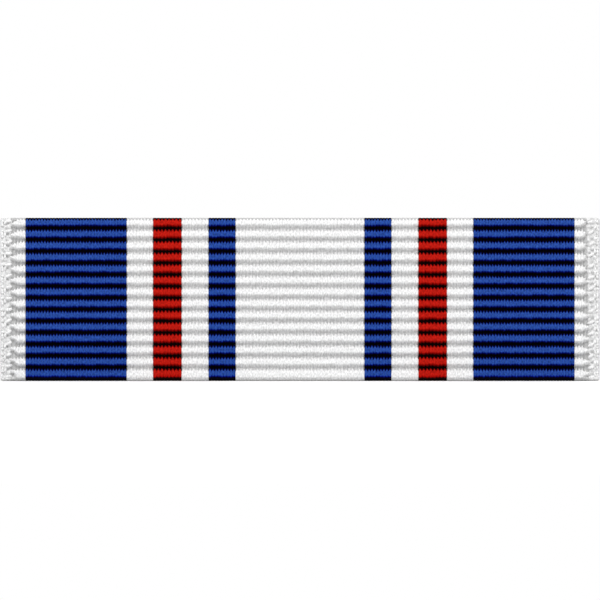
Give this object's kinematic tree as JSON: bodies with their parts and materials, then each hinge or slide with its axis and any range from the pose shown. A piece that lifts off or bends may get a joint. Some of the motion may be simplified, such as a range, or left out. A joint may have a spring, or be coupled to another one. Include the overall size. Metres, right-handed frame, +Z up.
{
  "type": "service ribbon bar",
  "caption": "Striped woven service ribbon on a slide-on plate, carried by a mounting bar whose two pins are held behind the cloth by butterfly clutches with squeezable wings.",
  "frame": {"origin": "centre of the mounting bar's rear face, which lies on the cloth", "axes": "+Y from the bar into the cloth along the pins, +Z up as worn, +X to the right of a person facing the ribbon"},
  "size_m": [0.035, 0.0106, 0.0096],
  "materials": {
    "white_yarn": "ribbed grosgrain weave",
    "blue_yarn": "ribbed grosgrain weave",
    "red_yarn": "ribbed grosgrain weave",
    "brass": "satin",
    "clutch_brass": "bright, lightly handled",
    "nickel_plate": "satin nickel plate",
    "spring_wire": "drawn wire"
  },
  "bodies": {
    "mount": {"mounting_bar": "nickel_plate", "left_pin": "nickel_plate", "right_pin": "nickel_plate"},
    "ribbon_unit": {"ribbon_white_bands": "white_yarn", "ribbon_blue_bands": "blue_yarn", "ribbon_red_bands": "red_yarn", "ribbon_selvedges": "white_yarn", "core_plate": "brass", "slide_channel": "brass", "channel_rivets": "brass"},
    "left_clutch": {"left_clutch_base": "clutch_brass", "left_clutch_housing": "clutch_brass", "left_clutch_spring": "spring_wire"},
    "left_inner_wing": {"left_clutch_inner_wing": "clutch_brass"},
    "left_outer_wing": {"left_clutch_outer_wing": "clutch_brass"},
    "right_clutch": {"right_clutch_base": "clutch_brass", "right_clutch_housing": "clutch_brass", "right_clutch_spring": "spring_wire"},
    "right_inner_wing": {"right_clutch_inner_wing": "clutch_brass"},
    "right_outer_wing": {"right_clutch_outer_wing": "clutch_brass"}
  },
  "joints": [
    {"name": "ribbon_slide", "type": "slide", "parent": "mount", "child": "ribbon_unit", "axis": [1, 0, 0], "range_m": [-0.036, 0.036]},
    {"name": "left_clutch_pull", "type": "slide", "parent": "mount", "child": "left_clutch", "axis": [0, 1, 0], "range_m": [0, 0.012]},
    {"name": "right_clutch_pull", "type": "slide", "parent": "mount", "child": "right_clutch", "axis": [0, 1, 0], "range_m": [0, 0.012]},
    {"name": "left_inner_wing_squeeze", "type": "hinge", "parent": "left_clutch", "child": "left_inner_wing", "pos_m": [-0.00677, 0.0044, 0], "axis": [0, 0, 1], "range_deg": [0, 12], "deforming": ["left_clutch_spring"]},
    {"name": "left_outer_wing_squeeze", "type": "hinge", "parent": "left_clutch", "child": "left_outer_wing", "pos_m": [-0.01227, 0.0044, 0], "axis": [0, 0, -1], "range_deg": [0, 12]},
    {"name": "right_inner_wing_squeeze", "type": "hinge", "parent": "right_clutch", "child": "right_inner_wing", "pos_m": [0.00677, 0.0044, 0], "axis": [0, 0, -1], "range_deg": [0, 12], "deforming": ["right_clutch_spring"]},
    {"name": "right_outer_wing_squeeze", "type": "hinge", "parent": "right_clutch", "child": "right_outer_wing", "pos_m": [0.01227, 0.0044, 0], "axis": [0, 0, 1], "range_deg": [0, 12]}
  ],
  "couplings": [
    {"joint": "left_outer_wing_squeeze", "follows": "left_inner_wing_squeeze", "ratio": 1},
    {"joint": "right_outer_wing_squeeze", "follows": "right_inner_wing_squeeze", "ratio": 1}
  ]
}
